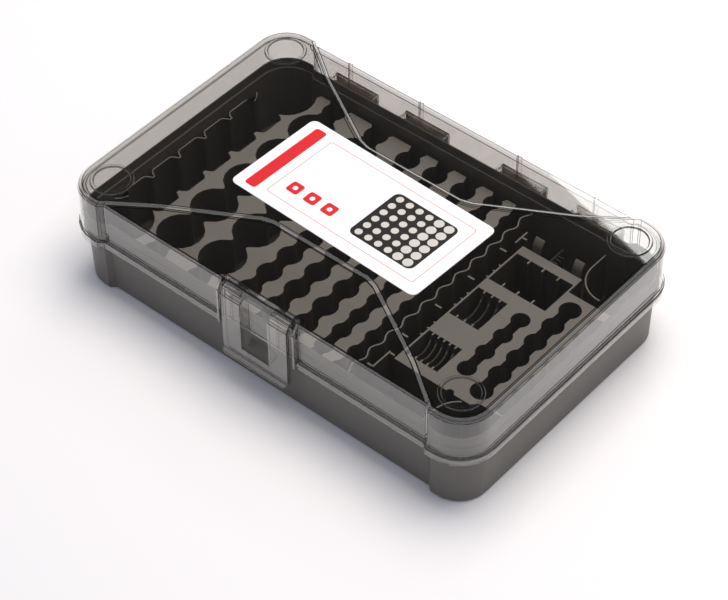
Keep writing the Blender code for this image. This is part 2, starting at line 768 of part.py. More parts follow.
cradle_base = 2 * MM
cradle_plate = 1 * MM
large_dip = 9 * MM
small_dip = 7.5 * MM


def coin_rack(name, box, ticks, dip):
    left, right, low, high = box
    front = low + coin_tick_depth + seat_gap * 2
    back = high - coin_tick_depth - seat_gap * 2
    half = (back - front) / 2
    radius = (half * half + dip * dip) / (2 * dip)
    reach = acos((radius - dip) / radius)
    top = deck_height - seat_gap
    dipped = arc((front + back) / 2, top + radius - dip, radius, 3 * pi / 2 - reach,
                 3 * pi / 2 + reach, arc_steps + 2)
    profile = dipped + [(back, ridge_low + seat_gap), (front, ridge_low + seat_gap)]
    rack = block(name, (left + seat_gap, front - seat_gap, ridge_low),
                 (right - seat_gap, back + seat_gap, ridge_low + cradle_base), rack_plastic)
    for number, x in enumerate(ticks):
        plate = flat_piece("%s_plate_%d" % (name, number), [profile], "X", x - cradle_plate / 2,
                           x + cradle_plate / 2, cutter=True)
        join(rack, plate)
    return rack


coin_rack("coin_rack_large", coin_large, large_ticks, large_dip)
coin_rack("coin_rack_small", coin_small, small_ticks, small_dip)

# Spring clips behind the tray: curved tongues that lean back over the tester's place

clip_width = 6.4 * MM
clip_thickness = 1.4 * MM
clip_rise = 8 * MM
clip_front = tray_bar_back + seat_gap
clip_bow = 14 * MM
clip_steps = 8
clip_places = {"tester_clip_left": 8.7 * MM, "tester_clip_right": 36.5 * MM}
for name, place in clip_places.items():
    clip_x = tray_left + place
    inner = arc(clip_front + clip_bow, deck_height - clip_rise / 4, clip_bow, pi, pi - pi / 4,
                clip_steps)
    outer = arc(clip_front + clip_bow, deck_height - clip_rise / 4, clip_bow - clip_thickness, pi,
                pi - pi / 4, clip_steps)
    blade = [(clip_front, ridge_low)] + inner
    blade += list(reversed(outer)) + [(clip_front + clip_thickness, ridge_low)]
    flat_piece(name, [blade], "X", clip_x - clip_width / 2, clip_x + clip_width / 2, rack_plastic)

# Fine rack between the clips

terminal_place = 13.8 * MM
terminal_gap = 2.5 * MM
terminal_x = tray_left + terminal_place
terminal_front = tray_bar_back + terminal_gap
terminal_pitch = 2.8 * MM
terminal_fin = 1 * MM
terminal_drop = 8 * MM
terminal_top = deck_height - terminal_drop
terminal_length = 4.6 * MM
terminal_rack = block("terminal_rack", (terminal_x, terminal_front, ridge_low),
                      (terminal_x + thin_wall, terminal_front + terminal_pitch * 6, terminal_top),
                      rack_plastic)
for number, y in enumerate(evenly(terminal_front, terminal_pitch, 5)):
    fin = block("terminal_fin_%d" % number, (terminal_x + thin_wall / 2, y, ridge_low),
                (terminal_x + terminal_length, y + terminal_fin, terminal_top - thin_wall),
                cutter=True)
    join(terminal_rack, fin)

# Thin walls round the right corner pockets

pocket_wall_radius = d_cell_radius + seat_gap
pocket_wall_from = radians(182)
rear_wall_to = radians(272)
front_wall_to = radians(235)
pocket_wall_steps = 9


def corner_wall(turn_to):
    """The outline of the thin wall round the right rear pocket, straight and then an arc."""
    outer = arc(d_x, d_y, pocket_wall_radius + thin_wall, pocket_wall_from, turn_to,
                pocket_wall_steps)
    inner = arc(d_x, d_y, pocket_wall_radius, turn_to, pocket_wall_from, pocket_wall_steps)
    return [(outer[0][0], ridge_end)] + outer + inner + [(inner[-1][0], ridge_end)]


flat_piece("rear_corner_wall", [corner_wall(rear_wall_to)], "Z", ridge_low, deck_height,
           rack_plastic)
flat_piece("front_corner_wall", [flipped_y(corner_wall(front_wall_to))], "Z", ridge_low,
           deck_height, rack_plastic)

# Lid shell: a clear cover with a lip, a raised X-shaped panel and lower fields front and back

lid_corner = 20 * MM
lip_thickness = 1.7 * MM
lip_round = 0.5 * MM
lid_inset_low = 2 * MM
lid_inset_high = 2.2 * MM
shoulder_drop = 2.4 * MM
shoulder_mid = 1 * MM
shoulder_run = 2.8 * MM
field_drop = 1.1 * MM         # the trapezoid fields lie this much below the panel
field_slope = 2.1 * MM        # width of the sloped face round them


def lid_ring(inset):
    corner = lip_corner + (lid_corner - lip_corner) * min(inset / lid_inset_low, 1)
    return case_outline(inset, corner - max(inset - lid_inset_high, 0))


lid_shell = lofted("lid_shell", [
    (lip_bottom, lid_ring(lip_round / 2)),
    (lip_bottom + lip_round, lid_ring(0)),
    (lip_top - lip_round, lid_ring(0)),
    (lip_top, lid_ring(lip_round)),
    (lip_top + lip_round / 10, lid_ring(lid_inset_low)),
    (lid_top - shoulder_drop, lid_ring(lid_inset_high)),
    (lid_top - shoulder_mid, lid_ring(lid_inset_high + shoulder_run * 0.35)),
    (lid_top, lid_ring(lid_inset_high + shoulder_run)),
], clear_plastic)

inner_draft = 0.1 * MM
inner_shift = lid_wall + inner_draft
lid_hollow = lofted("lid_hollow", [
    (lip_bottom - overrun, lid_ring(lip_thickness)),
    (lip_top - lid_wall, lid_ring(lip_thickness)),
    (lip_top - lid_wall + lip_round / 10, lid_ring(lid_inset_low + inner_shift)),
    (lid_top - lid_wall - shoulder_drop, lid_ring(lid_inset_high + inner_shift)),
    (lid_top - lid_wall - shoulder_mid, lid_ring(lid_inset_high + inner_shift + shoulder_run * 0.35)),
    (lid_top - lid_wall, lid_ring(lid_inset_high + inner_shift + shoulder_run)),
], cutter=True)

panel_shares = [(0.224, 0.43), (0.272, 0.452), (0.325, 0.5), (0.612, 0.757), (0.8, 0.963),
                (0.83, 1.05)]


def field_outline(grow):
    right = [(share_x * half_length + grow / 2, share_y * half_depth - grow)
             for share_x, share_y in panel_shares]
    left = [(-x, y) for x, y in reversed(right)]
    return right + left


def field_tool(name, side, low, high, grow):
    """The block that lowers one trapezoid field, wider at its top so that it leaves a slope."""
    lower = [(x, side * y) for x, y in field_outline(grow)]
    upper = [(x, side * y) for x, y in field_outline(grow + field_slope * (high - low) / field_drop)]
    return lofted(name, [(low, lower), (high, upper)], cutter=True)


for number, side in enumerate((-1, 1)):
    cut(lid_hollow, field_tool("field_ceiling_%d" % number, side, lid_top - lid_wall - field_drop,
                               lid_top, lid_wall / 3))

# The place for the latch: two cheeks in front, and a notch in the lid's top edge behind them

latch_half = 23.75 * MM
latch_side_gap = 2.6 * MM
cheek_thickness = 2 * MM
cheek_inset = 1.4 * MM        # from the lid's lip back to the cheeks
cheek_front = cheek_inset - half_depth
notch_half = latch_half + latch_side_gap
notch_run = 8.7 * MM          # how far the notch reaches back from the lip
notch_back = notch_run - half_depth
notch_depth = 6.6 * MM
notch_low = lid_top - notch_depth
lid_front = -(half_depth - pillar_step - lid_inset_low)
field_top = lid_top - field_drop
cheek_slope = 7.7 * MM
cheek_profile = [
    (lid_front + lid_wall, lip_bottom), (cheek_front, lip_bottom),
    (cheek_front, lid_top - cheek_slope), (lid_front + lid_wall / 2, field_top),
    (notch_back + lid_wall / 2, field_top), (notch_back + lid_wall / 2, notch_low),
    (lid_front + lid_wall, notch_low),
]
notch_liner = block("latch_notch_liner", (-notch_half - lid_wall, -half_depth - overrun,
                                          notch_low - lid_wall),
                    (notch_half + lid_wall, notch_back + lid_wall, lid_top), cutter=True)
cut(lid_hollow, notch_liner)
for number, side in enumerate((-1, 1)):
    low, high = sorted((side * notch_half, side * (notch_half + cheek_thickness)))
    join(lid_shell, flat_piece("latch_cheek_%d" % number, [cheek_profile], "X", low, high,
                               cutter=True))

# Hinge loops at the back, each a hood over the pin, and a stiffening rib above it

loop_thickness = 2 * MM
loop_height = 12.5 * MM
loop_top = lip_bottom + loop_height
loop_back = hinge_back
lug_gap = 0.35 * MM
barrel_half = lug_offset - lug_width / 2 - lug_gap
loop_clear = 1 * MM
window_gap = 0.5 * MM
hinge_notch_half = hinge_length / 2 + window_gap
lid_back = -lid_front
stiffener_half = 1.5 * MM
stiffener_rise = 0.9 * MM
hood_corner = 1.2 * MM
hood_profile = [
    (lid_back - lid_wall / 2, loop_top - loop_thickness),
    (loop_back - loop_thickness, loop_top - loop_thickness),
    (loop_back - loop_thickness, hinge_axis_z + loop_clear),
    (loop_back, hinge_axis_z + loop_clear),
    (loop_back, loop_top - hood_corner),
    (loop_back - hood_corner, loop_top),
    (lid_back - lid_wall / 2, loop_top),
]
barrel_profile = arc(hinge_axis_y, hinge_axis_z, lug_radius, pi / 2, 3 * pi / 2, corner_steps)
barrel_profile += [(loop_back - hood_corner, hinge_axis_z - lug_radius),
                   (loop_back, hinge_axis_z - lug_radius + hood_corner),
                   (loop_back, hinge_axis_z + lug_radius + loop_thickness),
                   (loop_back - loop_thickness, hinge_axis_z + lug_radius + loop_thickness)]
for number, centre in enumerate(hinge_centres):
    gap = block("hinge_window_%d" % number,
                (centre - hinge_notch_half, lid_back - lid_wall - overrun, lip_bottom - overrun),
                (centre + hinge_notch_half, half_depth + overrun, loop_top - loop_thickness),
                cutter=True)
    cut(lid_shell, gap)
for number, centre in enumerate(hinge_centres):
    hood = flat_piece("hinge_hood_%d" % number, [hood_profile], "X", centre - hinge_length / 2,
                      centre + hinge_length / 2, cutter=True)
    barrel = flat_piece("hinge_barrel_%d" % number, [barrel_profile], "X", centre - barrel_half,
                        centre + barrel_half, cutter=True)
    rib = block("lid_stiffener_%d" % number,
                (centre - stiffener_half, lid_back - lid_wall / 2, loop_top - loop_thickness / 2),
                (centre + stiffener_half, lid_back + stiffener_rise, field_top - field_drop),
                cutter=True)
    join(lid_shell, hood, barrel, rib)
    bore = rod("lid_bore_%d" % number, pin_radius + pin_clearance, hinge_axis_y, hinge_axis_z,
               centre - pin_length, centre + pin_length, pin_sides, cutter=True)
    cut(lid_shell, bore)

for number, (side_x, side_y) in enumerate(corners):
    join(lid_shell, ring("stack_ring_%d" % number, side_x, side_y, lid_top - lid_wall / 2,
                         case_height, 0, cutter=True))
cut(lid_shell, lid_hollow)
for number, side in enumerate((-1, 1)):
    cut(lid_shell, field_tool("field_%d" % number, side, field_top, lid_top + ring_rise, 0))
cut(lid_shell, block("latch_notch", (-notch_half, -half_depth - overrun, notch_low),
                     (notch_half, notch_back, lid_top + overrun), cutter=True))
cut(lid_shell, block("lip_gap", (-notch_half, -half_depth - overrun, lip_bottom - overrun),
                     (notch_half, lid_front - lip_round / 10, lip_top + lip_round), cutter=True))

# Latch pins: a stub pin each side, through the cheek into the latch's barrel

latch_axis_inset = 6.3 * MM
latch_axis_y = latch_axis_inset - half_depth
latch_axis_drop = 3.1 * MM
latch_axis_z = lid_top - latch_axis_drop
stub_radius = 0.9 * MM
stub_inner = 12.5 * MM
stub_outer = notch_half + cheek_thickness * 0.7
cheek_bore = rod("cheek_bore", stub_radius + pin_clearance, latch_axis_y, latch_axis_z,
                 -stub_outer - pin_clearance, stub_outer + pin_clearance, pin_sides, cutter=True)
cut(lid_shell, cheek_bore)
rod("latch_pin_left", stub_radius, latch_axis_y, latch_axis_z, -stub_outer, -stub_inner, pin_sides,
    pin_steel)
rod("latch_pin_right", stub_radius, latch_axis_y, latch_axis_z, stub_inner, stub_outer, pin_sides,
    pin_steel)

# Latch plate: a moulded shell with a bevelled head, side flanges, a window, a finger lip and a hook

latch_front = seat_gap - half_depth
latch_thickness = 2 * MM
head_drop = 1.2 * MM          # from the lid's top down to the head
head_offset = 0.9 * MM
head_height = 6.6 * MM
head_top = lid_top - head_drop
head_top_y = latch_axis_y - head_offset
head_low = head_top - head_height
finger_drop = 7.5 * MM        # from the catch down to the latch's lower end
latch_bottom = catch_low - finger_drop
finger_y = -half_depth - finger_overhang
finger_height = 2.4 * MM
latch_back = latch_front + latch_thickness
head_back = 1.9 * MM
flange_depth = 3.3 * MM
flange_back = latch_front + flange_depth
flange_thickness = 1.5 * MM
foot_corner = 4.5 * MM
window_half = 9.7 * MM
window_rise = 1.5 * MM
window_drop = 3.4 * MM
window_low = catch_low + window_rise
window_high = head_top - window_drop

plate_profile = [
    (head_top_y, head_top), (latch_front, head_low), (latch_front, latch_bottom + finger_height),
    (finger_y + seat_gap, latch_bottom + finger_height / 2), (finger_y, latch_bottom + seat_gap),
    (finger_y + seat_gap, latch_bottom - seat_gap), (latch_back, latch_bottom - seat_gap),
    (latch_back, head_low - seat_gap), (head_top_y + head_back, head_top - head_back / 2),
    (head_top_y + head_back / 2, head_top),
]
latch_plate = flat_piece("latch_plate", [plate_profile], "X", -latch_half, latch_half, clear_plastic)
flange_profile = [
    (latch_front + seat_gap, head_low), (latch_front + seat_gap, latch_bottom),
    (flange_back, latch_bottom), (flange_back, head_low - seat_gap),
    (head_top_y + head_back / 2, head_top - head_back),
]
barrel_radius = 1.9 * MM
barrel_inner = 11.2 * MM
head_web_y = latch_back + seat_gap
latch_barrel = arc(latch_axis_y, latch_axis_z, barrel_radius, -pi / 2, pi / 2, corner_steps)
latch_barrel += [(head_top_y, latch_axis_z + barrel_radius - seat_gap),
                 (head_web_y, latch_axis_z - seat_gap), (head_web_y, latch_axis_z - barrel_radius)]
for number, side in enumerate((-1, 1)):
    low, high = sorted((side * latch_half, side * (latch_half - flange_thickness)))
    flange = flat_piece("latch_flange_%d" % number, [flange_profile], "X", low, high, cutter=True)
    low, high = sorted((side * latch_half, side * barrel_inner))
    barrel = flat_piece("latch_barrel_%d" % number, [latch_barrel], "X", low, high, cutter=True)
    join(latch_plate, flange, barrel)
latch_bore = rod("latch_bore", stub_radius + pin_clearance, latch_axis_y, latch_axis_z,
                 -stub_outer - overrun, stub_outer + overrun, pin_sides, cutter=True)
cut(latch_plate, latch_bore)

front_view = arc(latch_half - foot_corner, latch_bottom - seat_gap + foot_corner, foot_corner,
                 -pi / 2, 0, corner_steps)
front_view = front_view + [(latch_half, head_top + overrun)]
front_view += [(-x, z) for x, z in reversed(front_view)]
limits = flat_piece("latch_outline", [front_view], "Y", finger_y - overrun, notch_back, cutter=True)
boolean(latch_plate, limits, "INTERSECT")
window = block("latch_window", (-window_half, latch_front - overrun, window_low),
               (window_half, notch_back, window_high), cutter=True)
cut(latch_plate, window)

# The hook stops just in front of the catch, so that the lid swings without bending the latch

hook_half = 8 * MM
hook_drop = 4.3 * MM
hook_low = catch_low - hook_drop
hook_height = 2.6 * MM
hook_tip = catch_nose - seat_gap
hook_profile = [(latch_back - seat_gap, hook_low - seat_gap), (hook_tip, hook_low),
                (hook_tip, hook_low + hook_height), (latch_back - seat_gap, hook_low + hook_height)]
join(latch_plate, flat_piece("latch_hook", [hook_profile], "X", -hook_half, hook_half, cutter=True))

# Label card on the raised panel, bare

card_length = 137.3 * MM
card_width = 68.7 * MM
card_x = -4.7 * MM
card_y = 1 * MM
card_thickness = 0.3 * MM
card_corner = 4 * MM
card_turn = radians(-2)
card_outline = []
for side_x, side_y, start in ((1, 1, 0), (-1, 1, pi / 2), (-1, -1, pi), (1, -1, 3 * pi / 2)):
    for x, y in arc(side_x * (card_length / 2 - card_corner), side_y * (card_width / 2 - card_corner),
                    card_corner, start, start + pi / 2, corner_steps - 2):
        card_outline.append((card_x + x * cos(card_turn) - y * sin(card_turn),
                             card_y + x * sin(card_turn) + y * cos(card_turn)))
card_low = lid_top + seat_gap / 2
label_card = flat_piece("label_card", [card_outline], "Z", card_low, card_low + card_thickness,
                        card_stock)

# The lid turns about the hinge pins, and the latch about its stub pins

lid_axis = bpy.data.objects.new("lid_axis", None)
lid_axis.location = (0, hinge_axis_y, hinge_axis_z)
latch_axis = bpy.data.objects.new("latch_axis", None)
latch_axis.location = (0, latch_axis_y, latch_axis_z)
part_group.objects.link(lid_axis)
part_group.objects.link(latch_axis)
bpy.context.view_layer.update()


def carry(child, parent):
    child.parent = parent
    child.matrix_parent_inverse = parent.matrix_world.inverted()


carry(latch_axis, lid_axis)
for name in ("lid_shell", "label_card", "latch_pin_left", "latch_pin_right"):
    carry(bpy.data.objects[name], lid_axis)
carry(latch_plate, latch_axis)
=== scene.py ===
from math import cos, pi, radians, sin

import bmesh
import bpy
from mathutils import Matrix, Vector


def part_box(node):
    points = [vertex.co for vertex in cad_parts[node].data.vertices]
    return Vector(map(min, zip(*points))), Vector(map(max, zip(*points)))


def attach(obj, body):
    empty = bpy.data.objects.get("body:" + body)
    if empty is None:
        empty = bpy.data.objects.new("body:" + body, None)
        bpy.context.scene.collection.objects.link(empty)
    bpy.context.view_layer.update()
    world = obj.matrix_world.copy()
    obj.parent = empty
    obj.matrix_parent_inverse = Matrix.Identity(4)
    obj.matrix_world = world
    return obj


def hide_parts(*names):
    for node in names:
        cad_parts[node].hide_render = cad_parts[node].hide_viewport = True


# Battery case, seen from above its front right corner: a dark tray with racks of round pockets under a
# smoked clear lid. The frame holds every solid, and each section below dresses one group of them.

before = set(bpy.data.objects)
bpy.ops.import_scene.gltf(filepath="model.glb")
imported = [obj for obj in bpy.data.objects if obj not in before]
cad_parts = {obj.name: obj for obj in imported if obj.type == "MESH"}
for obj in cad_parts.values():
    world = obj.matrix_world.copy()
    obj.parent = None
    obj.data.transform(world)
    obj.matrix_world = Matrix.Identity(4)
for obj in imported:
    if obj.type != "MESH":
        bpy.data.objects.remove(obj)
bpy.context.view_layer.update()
MM = 0.001


# Tray: one polypropylene moulding with thick pillars at its corners, a ledge that the lid's lip sits
# over and a rim that stands up inside the lid. Its outside is finely spark-eroded, so it looks matt.

tray_colour = "585550"
tray_worn_colour = "615e58"
# Painted shade: the tray's faces that look into the case take this tone, a little darker than its skin.
tray_painted_shade_colour = "5a5650"
tray_grain = 0.5 * MM         # real grain is about 0.1 mm, drawn coarser so that it shows
tray_roughness = 0.42
tray_rounding = 0.35 * MM
polypropylene_index = 1.49
flow_size = 45 * MM           # the clouds that the melt leaves as it flows
sheen_spread = 0.07
grain_depth = 0.06 * MM
grain_strength = 0.12
upward_from, upward_full = 0.35, 0.8   # of a normal's upright part, where a slope turns into a deck
deck_from = 33 * MM           # a face that looks up counts as a deck above this height
tray_outer_from = 80 * MM     # and one that looks outward counts as the outside beyond this
smooth_under = radians(34)
seam_reach = 0.05 * MM
weld_reach = 0.002 * MM
flat_within = radians(0.6)


def linear(colour):
    """The linear values of an sRGB hex colour, with an alpha of 1."""
    parts = [int(colour[i:i + 2], 16) / 255 for i in (0, 2, 4)]
    return [p / 12.92 if p <= 0.04045 else ((p + 0.055) / 1.055) ** 2.4 for p in parts] + [1]


def put(tree, kind, sockets=None, **settings):
    """Adds one shader node. Each socket takes a value, or the output of another node as its link."""
    made = tree.nodes.new(kind)
    for name, value in settings.items():
        setattr(made, name, value)
    for key, value in (sockets or {}).items():
        if isinstance(value, bpy.types.NodeSocket):
            tree.links.new(value, made.inputs[key])
        else:
            made.inputs[key].default_value = value
    return made


def moulded(name, colour, worn_colour, painted_shade_colour, grain, roughness, outer_from):
    """Opaque moulded plastic: slow cloudy differences of tone from the flow of the melt, a fine grain
    that breaks up its sheen, and a roughness that wanders a little. Faces that look up from the decks
    or out of the case take the first two tones. All other faces, which look into the case or down into
    the pockets, take a painted shade: a darker copy of the same plastic, put where those faces fall into
    shade."""
    material = bpy.data.materials.new(name)
    material.use_nodes = True
    tree = material.node_tree
    tree.nodes.clear()
    place = put(tree, "ShaderNodeTexCoord").outputs["Object"]
    facing = put(tree, "ShaderNodeNewGeometry").outputs["True Normal"]
    level = put(tree, "ShaderNodeSeparateXYZ", {0: facing}).outputs[2]
    height = put(tree, "ShaderNodeSeparateXYZ", {0: place}).outputs[2]
    # The mask of faces spared the painted shade: decks that look up above deck_from, and faces that look
    # out of the case.
    high = put(tree, "ShaderNodeMath", {0: height, 1: deck_from}, operation="GREATER_THAN").outputs[0]
    upward = put(tree, "ShaderNodeMapRange", {"Value": level, "From Min": upward_from,
                                              "From Max": upward_full})
    deck = put(tree, "ShaderNodeMath", {0: upward.outputs["Result"], 1: high}, operation="MULTIPLY")
    flat_place = put(tree, "ShaderNodeVectorMath", {0: place, 1: (1.0, 1.0, 0.0)}, operation="MULTIPLY")
    away = put(tree, "ShaderNodeVectorMath", {0: flat_place.outputs[0], 1: facing},
               operation="DOT_PRODUCT").outputs["Value"]
    outer_face = put(tree, "ShaderNodeMath", {0: away, 1: outer_from}, operation="GREATER_THAN")
    pale = put(tree, "ShaderNodeMath", {0: deck.outputs[0], 1: outer_face.outputs[0]},
               operation="MAXIMUM").outputs[0]
    flow = put(tree, "ShaderNodeTexNoise", {"Vector": place, "Scale": 1 / flow_size, "Detail": 3.0})
    skin = put(tree, "ShaderNodeMix", {0: flow.outputs["Fac"], 6: linear(colour), 7: linear(worn_colour)},
               data_type="RGBA")
    # Painted shade: every face outside that mask takes the dark shade tone in place of the skin.
    tone = put(tree, "ShaderNodeMix", {0: pale, 6: linear(painted_shade_colour), 7: skin.outputs[2]},
               data_type="RGBA")
    texture = put(tree, "ShaderNodeTexNoise", {"Vector": place, "Scale": 1 / grain, "Detail": 2.0,
                                               "Roughness": 0.6})
    sheen = put(tree, "ShaderNodeMapRange", {"Value": texture.outputs["Fac"],
                                             "To Min": roughness - sheen_spread,
                                             "To Max": roughness + sheen_spread})
    bump = put(tree, "ShaderNodeBump", {"Height": texture.outputs["Fac"], "Strength": grain_strength,
                                        "Distance": grain_depth})
    shader = put(tree, "ShaderNodeBsdfPrincipled", {"Base Color": tone.outputs[2],
                                                    "IOR": polypropylene_index,
                                                    "Roughness": sheen.outputs["Result"],
                                                    "Normal": bump.outputs["Normal"]})
    put(tree, "ShaderNodeOutputMaterial", {"Surface": shader.outputs["BSDF"]})
    return material


def close_seams(shape, names):
    """Brings the facing sides of neighbouring strips together and takes out the walls between them."""
    for first, second in zip(names, names[1:]):
        low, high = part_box(first)[1][0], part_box(second)[0][0]
        middle = (low + high) / 2
        for vert in shape.verts:
            if min(abs(vert.co.x - low), abs(vert.co.x - high)) < seam_reach:
                vert.co.x = middle
        inner = [face for face in shape.faces if all(abs(v.co.x - middle) < seam_reach for v in face.verts)]
        bmesh.ops.delete(shape, geom=inner, context="FACES")


def softened(names, body, material, rounding, edge_material=None, crease=smooth_under):
    """A copy of CAD solids with their flat faces made whole, their edges rounded as a mould leaves them
    and their curves shaded smooth. It stands for the solids and rides on the same body. Solids that
    were cut apart only for their collision are closed up again into one skin."""
    name = names[0]
    shape = bmesh.new()
    for part in names:
        shape.from_mesh(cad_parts[part].data)
    if len(names) > 1:
        close_seams(shape, names)
    bmesh.ops.remove_doubles(shape, verts=shape.verts, dist=weld_reach)
    bmesh.ops.dissolve_limit(shape, angle_limit=flat_within, verts=shape.verts, edges=shape.edges)
    for face in shape.faces:
        face.smooth = True
    mesh = bpy.data.meshes.new(name + "_skin")
    shape.to_mesh(mesh)
    shape.free()
    for leftover in ("custom_normal", "sharp_edge", "sharp_face"):
        if leftover in mesh.attributes:
            mesh.attributes.remove(mesh.attributes[leftover])
    mesh.materials.append(material)
    piece = bpy.data.objects.new(name + "_skin", mesh)
    bpy.context.scene.collection.objects.link(piece)
    edges = piece.modifiers.new("moulded edges", "BEVEL")
    edges.width = rounding
    edges.segments = 2
    edges.limit_method = "ANGLE"
    edges.use_clamp_overlap = edge_material is None   # a clamp would thin the lid's dark edge lines
    edges.angle_limit = crease
    edges.harden_normals = True
    if edge_material:
        mesh.materials.append(edge_material)
        edges.material = 1
    mesh.set_sharp_from_angle(angle=crease)
    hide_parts(*names)
    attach(piece, body)
    return piece


tray_material = moulded("spark_eroded_polypropylene", tray_colour, tray_worn_colour, tray_painted_shade_colour,
                        tray_grain, tray_roughness, tray_outer_from)
softened(["base_shell"], "base", tray_material, tray_rounding)

# Racks: thin-walled polypropylene mouldings that stand on the tray's floor, in a slightly lighter grey.
# Their tops are flat decks, and the walls of the pockets drop straight down; every face but the decks
# carries a painted shade, a dark copy of the grey.

rack_colour = "88847d"
rack_worn_colour = "918d86"
rack_roughness = 0.5
rack_rounding = 0.25 * MM
# Painted shade: every rack face that isn't a deck above deck height takes this dark copy of the rack grey.
pocket_painted_shade_colour = "45413c"
no_outside = 1.0              # no face of a rack lies a metre out, so none counts as the outside
rack_material = moulded("satin_polypropylene", rack_colour, rack_worn_colour, pocket_painted_shade_colour, tray_grain,
                        rack_roughness, no_outside)
for rack_name in ("rack_floor", "nine_volt_wall", "nine_volt_ridge", "c_ridge", "c_aa_ridge",
                  "aa_ridge_left", "aa_ridge_right", "aa_aaa_ridge", "aaa_ridge", "wave_wall",
                  "channel_wall", "coin_rack_large", "coin_rack_small", "tester_clip_left",
                  "tester_clip_right", "terminal_rack", "rear_corner_wall", "front_corner_wall"):
    softened([rack_name], "base", rack_material, rack_rounding)
softened(["small_cell_tray", "small_cell_ridge_left", "small_cell_ridge_right",
          "small_cell_ridge_outer"], "base", rack_material, rack_rounding)

# Hinge and latch pins: drawn steel wire, blackened, cut to length and pressed into the lugs. Only their
# ends and the short stretches between lug and barrel show, with a dull drawn sheen.

pin_colour = "3c3a38"
pin_rounding = 0.2 * MM
pin_shine, pin_dull = 0.25, 0.5
drawn_line = 0.2 * MM         # the fine lines that drawing leaves along the wire
drawn_stretch = 0.02          # how much finer the pattern is across the wire than along it
pin_material = bpy.data.materials.new("blackened_steel_wire")
pin_material.use_nodes = True
pin_tree = pin_material.node_tree
pin_tree.nodes.clear()
pin_place = put(pin_tree, "ShaderNodeTexCoord").outputs["Object"]
pin_lines = put(pin_tree, "ShaderNodeMapping", {"Vector": pin_place, "Scale": (drawn_stretch, 1, 1)})
pin_drawn = put(pin_tree, "ShaderNodeTexNoise", {"Vector": pin_lines.outputs["Vector"],
                                                 "Scale": 1 / drawn_line})
pin_sheen = put(pin_tree, "ShaderNodeMapRange", {"Value": pin_drawn.outputs["Fac"],
                                                 "To Min": pin_shine, "To Max": pin_dull})
pin_shader = put(pin_tree, "ShaderNodeBsdfPrincipled", {"Base Color": linear(pin_colour),
                                                        "Metallic": 1.0,
                                                        "Roughness": pin_sheen.outputs["Result"]})
put(pin_tree, "ShaderNodeOutputMaterial", {"Surface": pin_shader.outputs["BSDF"]})
for pin_name in ("hinge_pin_1", "hinge_pin_2", "hinge_pin_3", "hinge_pin_4"):
    softened([pin_name], "base", pin_material, pin_rounding)
for pin_name in ("latch_pin_left", "latch_pin_right"):
    softened([pin_name], "lid", pin_material, pin_rounding)

# Lid and latch: smoked polycarbonate, polished in the mould. A wall two millimetres thick lets most of
# the light through, and its faces mirror the floor and the lamps. Its rounded edges carry a painted
# shade, a near black tint that stands for the dark lines bent light draws along clear edges. Thin
# walls shift what is behind them by less than a millimetre, so light passes them straight here.

smoke_colour = "c4beb7"
smoke_depth = 1 / (6 * MM)    # how fast the smoke darkens along a ray
polycarbonate_index = 1.585
ripple_size = 30 * MM
ripple_depth = 0.05 * MM
ripple_strength = 0.1
polish_drift = 0.03           # how much rougher the polish gets from place to place
lid_rounding = 0.28 * MM
lid_crease = radians(18)
barrel_from = 95.1 * MM       # the barrels reach further back than the lid's lip, which ends here


def smoked(name, passed, roughness, mirror, barrel_passed=None):
    """Clear plastic: what it mirrors grows towards a glancing view, and the rest goes straight on. The
    mirror images in the two sides of a wall lie together, so the near side carries both. The hinge
    barrels are thick round their pins, and look darker."""
    material = bpy.data.materials.new(name)
    material.use_nodes = True
    tree = material.node_tree
    tree.nodes.clear()
    place = put(tree, "ShaderNodeTexCoord").outputs["Object"]
    flow = put(tree, "ShaderNodeTexNoise", {"Vector": place, "Scale": 1 / ripple_size, "Detail": 2.0})
    sheen = put(tree, "ShaderNodeMapRange", {"Value": flow.outputs["Fac"], "To Min": roughness,
                                             "To Max": roughness + polish_drift})
    bump = put(tree, "ShaderNodeBump", {"Height": flow.outputs["Fac"], "Strength": ripple_strength,
                                        "Distance": ripple_depth})
    behind = put(tree, "ShaderNodeNewGeometry").outputs["Backfacing"]
    near = put(tree, "ShaderNodeMix", {0: behind, 2: mirror, 3: 0.0})
    share = put(tree, "ShaderNodeFresnel", {"IOR": polycarbonate_index,
                                            "Normal": bump.outputs["Normal"]})
    share = put(tree, "ShaderNodeMath", {0: share.outputs[0], 1: near.outputs[0]}, operation="MULTIPLY",
                use_clamp=True)
    gloss = put(tree, "ShaderNodeBsdfGlossy", {"Color": linear("ffffff"), "Normal": bump.outputs["Normal"],
                                               "Roughness": sheen.outputs["Result"]})
    tint = linear(passed)
    if barrel_passed:
        depth = put(tree, "ShaderNodeSeparateXYZ", {0: place}).outputs[1]
        barrel = put(tree, "ShaderNodeMath", {0: depth, 1: barrel_from}, operation="GREATER_THAN")
        tint = put(tree, "ShaderNodeMix", {0: barrel.outputs[0], 6: tint, 7: linear(barrel_passed)},
                   data_type="RGBA").outputs[2]
    window = put(tree, "ShaderNodeBsdfTransparent", {"Color": tint})
    surface = put(tree, "ShaderNodeMixShader", {0: share.outputs[0], 1: window.outputs[0],
                                                2: gloss.outputs[0]})
    smoke = put(tree, "ShaderNodeVolumeAbsorption", {"Color": linear(smoke_colour),
                                                     "Density": smoke_depth})
    put(tree, "ShaderNodeOutputMaterial", {"Surface": surface.outputs[0], "Volume": smoke.outputs[0]})
    return material


clear_material = smoked("smoked_polycarbonate", passed="ffffff", roughness=0.01, mirror=2.0,
                        barrel_passed="a8a29c")
